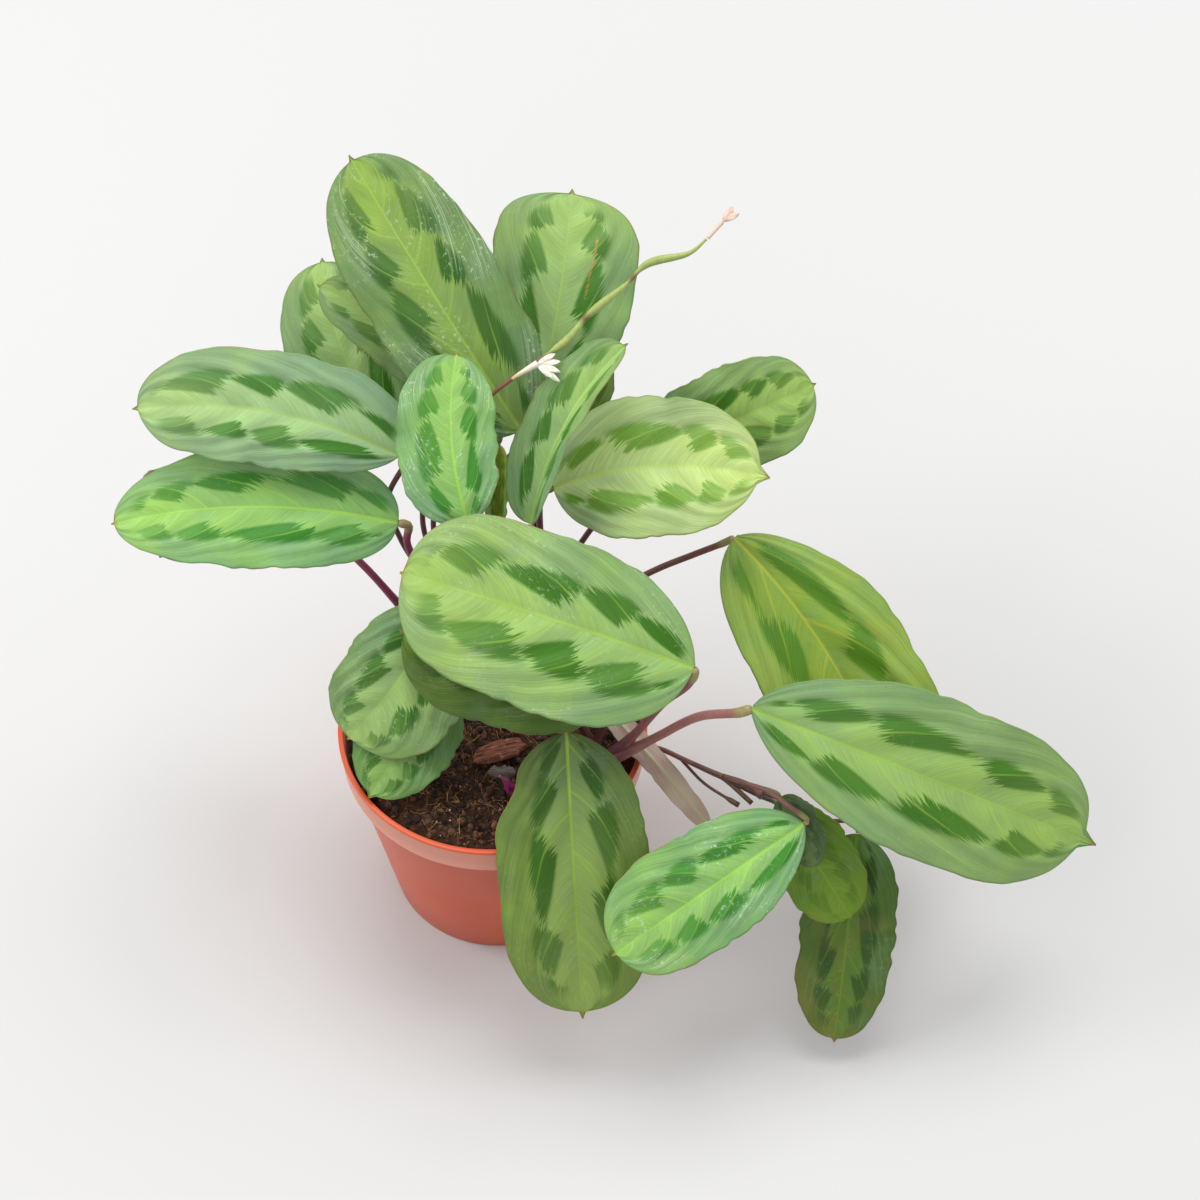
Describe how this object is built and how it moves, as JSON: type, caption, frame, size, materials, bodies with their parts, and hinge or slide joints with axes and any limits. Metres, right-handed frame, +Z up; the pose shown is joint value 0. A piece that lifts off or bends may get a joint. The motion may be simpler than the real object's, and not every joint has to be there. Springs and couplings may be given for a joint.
{
  "type": "potted prayer plant",
  "caption": "Prayer plant with patterned oval leaves on thin dark stalks and a fine flower stalk, growing in soil in a plain round plastic flower pot.",
  "frame": {"origin": "centre of the pot's base, on the surface it stands on", "axes": "+Z up, -Y towards the show side that the leaves face, +X to the right seen from the show side, where the longest leaf reaches out"},
  "size_m": [0.3735, 0.2509, 0.2626],
  "materials": {
    "pot_plastic": "satin",
    "potting_soil": "matte",
    "bark": "matte",
    "dry_skin": "matte",
    "young_shoot_skin": "satin",
    "stalk_skin": "satin",
    "flower_stalk_skin": "satin",
    "petal": "matte",
    "faded_petal": "matte",
    "leaf_green": "satin",
    "leaf_fresh": "satin",
    "leaf_yellow": "satin",
    "leaf_olive": "satin",
    "leaf_dark": "satin",
    "leaf_underside": "satin"
  },
  "bodies": {
    "root": {"pot": "pot_plastic", "soil": "potting_soil", "bark_chip": "bark", "dry_sheath": "dry_skin", "young_shoot": "young_shoot_skin", "shoot_centre": "stalk_skin", "shoot_right": "stalk_skin", "flower_stalk": "flower_stalk_skin", "flower_open": "petal", "flower_faded": "faded_petal", "leaf_back_tall": "leaf_green", "leaf_back_right": "leaf_green", "leaf_back_left": "leaf_green", "leaf_back_mid": "leaf_green", "leaf_left_upper": "leaf_green", "leaf_left_lower": "leaf_fresh", "leaf_left_under": "leaf_underside", "leaf_centre_small": "leaf_fresh", "leaf_centre_fold": "leaf_green", "leaf_right_mid": "leaf_green", "leaf_right_hidden": "leaf_dark", "leaf_right_upper": "leaf_green", "leaf_centre_big": "leaf_green", "leaf_centre_under": "leaf_dark", "leaf_left_front": "leaf_green", "leaf_left_front_under": "leaf_green", "leaf_front_hang": "leaf_olive", "leaf_front_right": "leaf_fresh", "leaf_right_large": "leaf_green", "leaf_right_yellow": "leaf_yellow", "leaf_branch_dark": "leaf_dark", "leaf_branch_yellow": "leaf_yellow", "leaf_branch_low": "leaf_dark", "leaf_right_strip": "leaf_underside", "leaf_young": "leaf_yellow"}
  },
  "joints": []
}
